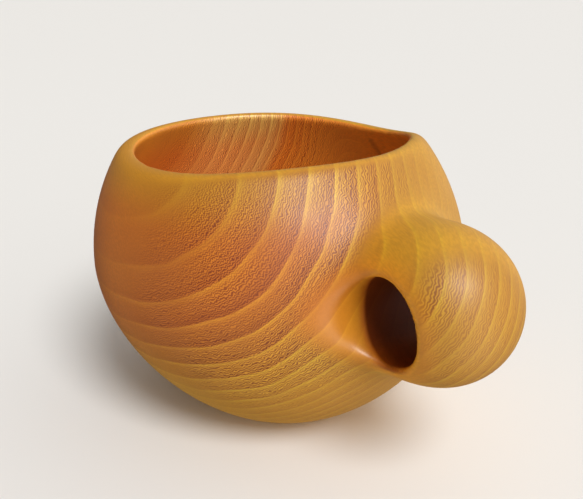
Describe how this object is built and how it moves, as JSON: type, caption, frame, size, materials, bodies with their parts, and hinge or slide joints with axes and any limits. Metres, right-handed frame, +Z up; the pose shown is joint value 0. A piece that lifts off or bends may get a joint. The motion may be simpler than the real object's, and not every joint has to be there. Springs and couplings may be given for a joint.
{
  "type": "kuksa cup",
  "caption": "Round-bellied wooden drinking cup carved in one piece, with a low uneven rim and a pierced knob handle for one finger.",
  "frame": {"origin": "on the flat foot, under the middle of the bowl's belly", "axes": "+X from the bowl towards the handle, +Z up out of the cup's mouth; the finger hole runs along Y"},
  "size_m": [0.1222, 0.0922, 0.0705],
  "materials": {
    "wood": "satin"
  },
  "bodies": {
    "root": {"cup": "wood"}
  },
  "joints": []
}
